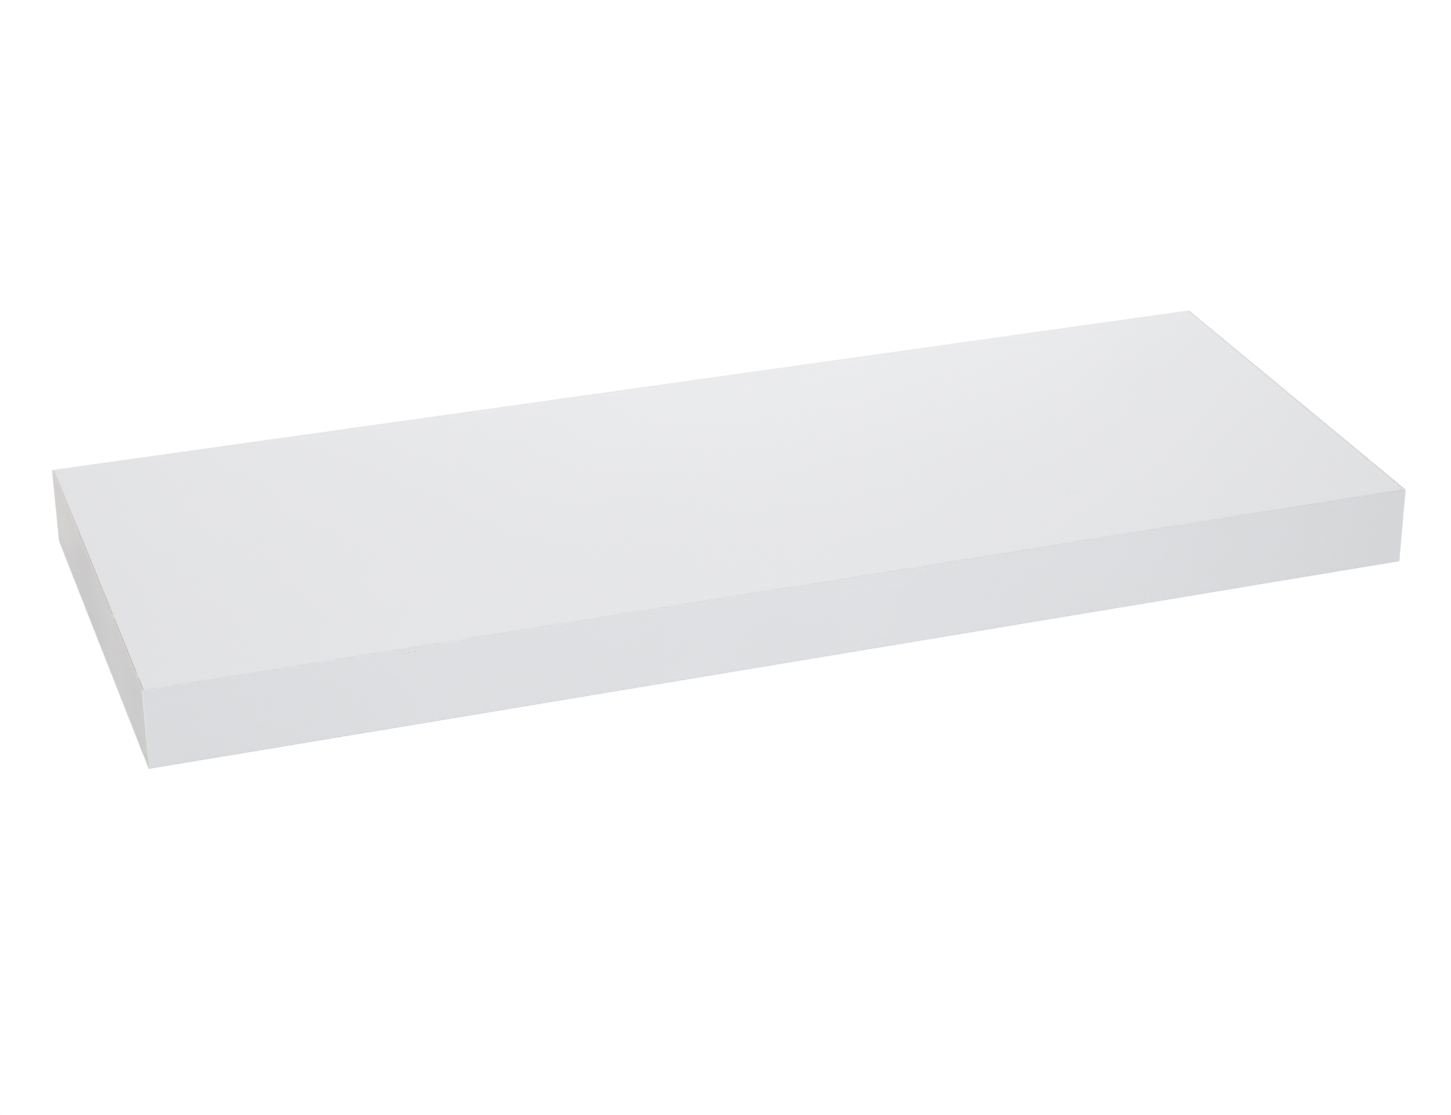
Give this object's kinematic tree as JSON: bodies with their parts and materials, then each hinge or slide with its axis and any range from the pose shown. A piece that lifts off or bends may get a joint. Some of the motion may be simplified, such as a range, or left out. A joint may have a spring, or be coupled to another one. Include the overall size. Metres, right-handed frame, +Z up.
{
  "type": "floating wall shelf",
  "caption": "White hollow-core shelf board that slides onto the rods of a hidden steel wall bracket and is locked to it from below by set screws.",
  "frame": {"origin": "middle of the bracket strip's wall face, halfway up the board's thickness", "axes": "+X along the shelf's length, +Y into the wall, +Z up; the front edge faces -Y"},
  "size_m": [0.6, 0.235, 0.038],
  "materials": {
    "white_face": "satin",
    "white_band": "satin",
    "chipboard": "matte",
    "honeycomb_paper": "matte",
    "staple_wire": "satin",
    "insert_metal": "satin",
    "black_steel": "satin",
    "zinc_steel": "satin",
    "weld_metal": "matte"
  },
  "bodies": {
    "bracket": {"wall_strip": "zinc_steel", "left_rod": "zinc_steel", "right_rod": "zinc_steel", "rod_welds": "weld_metal"},
    "shelf": {"top_skin": "white_face", "bottom_skin": "white_face", "front_edge_band": "white_band", "left_edge_band": "white_band", "right_edge_band": "white_band", "front_rail": "chipboard", "left_end_rail": "chipboard", "right_end_rail": "chipboard", "back_rail": "chipboard", "left_rod_block": "chipboard", "right_rod_block": "chipboard", "honeycomb_core": "honeycomb_paper", "corner_staples": "staple_wire", "left_lock_insert": "insert_metal", "right_lock_insert": "insert_metal"},
    "left_screw": {"left_lock_screw": "black_steel"},
    "right_screw": {"right_lock_screw": "black_steel"}
  },
  "joints": [
    {"name": "shelf_slide", "type": "slide", "parent": "bracket", "child": "shelf", "axis": [0, -1, 0], "range_m": [0, 0.115]},
    {"name": "left_lock_screw_travel", "type": "slide", "parent": "shelf", "child": "left_screw", "axis": [0, 0, -1], "range_m": [0, 0.0027]},
    {"name": "right_lock_screw_travel", "type": "slide", "parent": "shelf", "child": "right_screw", "axis": [0, 0, -1], "range_m": [0, 0.0027]}
  ]
}
